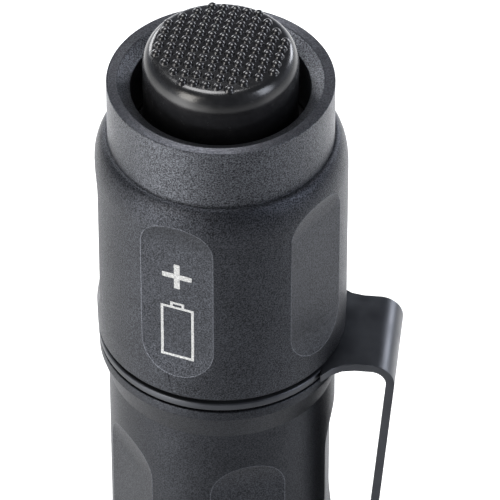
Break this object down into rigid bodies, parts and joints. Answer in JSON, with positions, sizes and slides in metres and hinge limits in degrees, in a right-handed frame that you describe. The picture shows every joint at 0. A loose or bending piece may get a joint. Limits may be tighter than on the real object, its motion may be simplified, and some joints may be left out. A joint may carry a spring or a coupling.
{
  "type": "flashlight",
  "caption": "Slim black metal flashlight standing on its bezel, with a dimpled rubber tail button, scooped grips, a pocket clip and a finned head.",
  "frame": {"origin": "centre of the bezel's front face, on the light's axis", "axes": "+Z along the light's axis from the bezel up to the tail button; +X from the axis towards the pocket clip"},
  "size_m": [0.0366, 0.0366, 0.1434],
  "materials": {
    "black_anodised": "black hard anodising, fine bead-blast grain",
    "clip_steel": "black coated spring steel, satin",
    "boot_rubber": "black silicone, satin",
    "seal_rubber": "black nitrile, matt",
    "lens_glass": "coated mineral glass, polished",
    "mirror_coat": "aluminised bowl, polished",
    "bare_aluminium": "turned, bare",
    "brass": "turned, bare",
    "spring_wire": "drawn spring wire, plated",
    "circuit_board": "green solder mask",
    "white_board": "white solder mask",
    "phosphor": "yellow phosphor under a clear dome",
    "black_plastic": "moulded acetal",
    "cell_wrap": "shrunk plain wrapper",
    "red_insulation": "wire insulation",
    "black_insulation": "wire insulation"
  },
  "bodies": {
    "light": {"bezel_ring": "black_anodised", "lens": "lens_glass", "lens_seal": "seal_rubber", "reflector": "mirror_coat", "reflector_gasket": "black_plastic", "led_board": "white_board", "led_emitter": "phosphor", "heat_sink_pill": "bare_aluminium", "driver_board": "circuit_board", "lead_positive": "red_insulation", "lead_negative": "black_insulation", "head_shell": "black_anodised", "head_spring": "spring_wire", "cell_lower": "cell_wrap", "cell_upper": "cell_wrap", "body_tube": "black_anodised", "head_seal": "seal_rubber"},
    "clip": {"pocket_clip": "clip_steel"},
    "cap_seal": {"tail_seal": "seal_rubber"},
    "cap": {"tail_cap": "black_anodised", "switch_clamp_ring": "brass", "tail_contact": "brass", "switch_board": "circuit_board", "switch_carrier": "black_plastic", "switch_body": "black_plastic", "switch_return_spring": "spring_wire", "boot_rim": "boot_rubber"},
    "button": {"tail_button": "boot_rubber", "switch_plunger": "black_plastic"}
  },
  "joints": [
    {"name": "clip_swivel", "type": "hinge", "parent": "light", "child": "clip", "pos_m": [0, 0, 0.10555], "axis": [0, 0, 1], "continuous": true},
    {"name": "cap_turn", "type": "hinge", "parent": "light", "child": "cap_seal", "pos_m": [0, 0, 0.1063], "axis": [0, 0, 1], "range_deg": [0, 1800]},
    {"name": "cap_lift", "type": "slide", "parent": "cap_seal", "child": "cap", "axis": [0, 0, 1], "range_m": [0, 0.005]},
    {"name": "button_press", "type": "slide", "parent": "cap", "child": "button", "axis": [0, 0, -1], "range_m": [0, 0.0022], "stiffness_N_per_m": 2500, "springref_m": -0.0008, "deforming": ["switch_return_spring"]}
  ],
  "couplings": [
    {"joint": "cap_turn", "follows": "cap_lift", "rad_per_m": 6283.2}
  ]
}
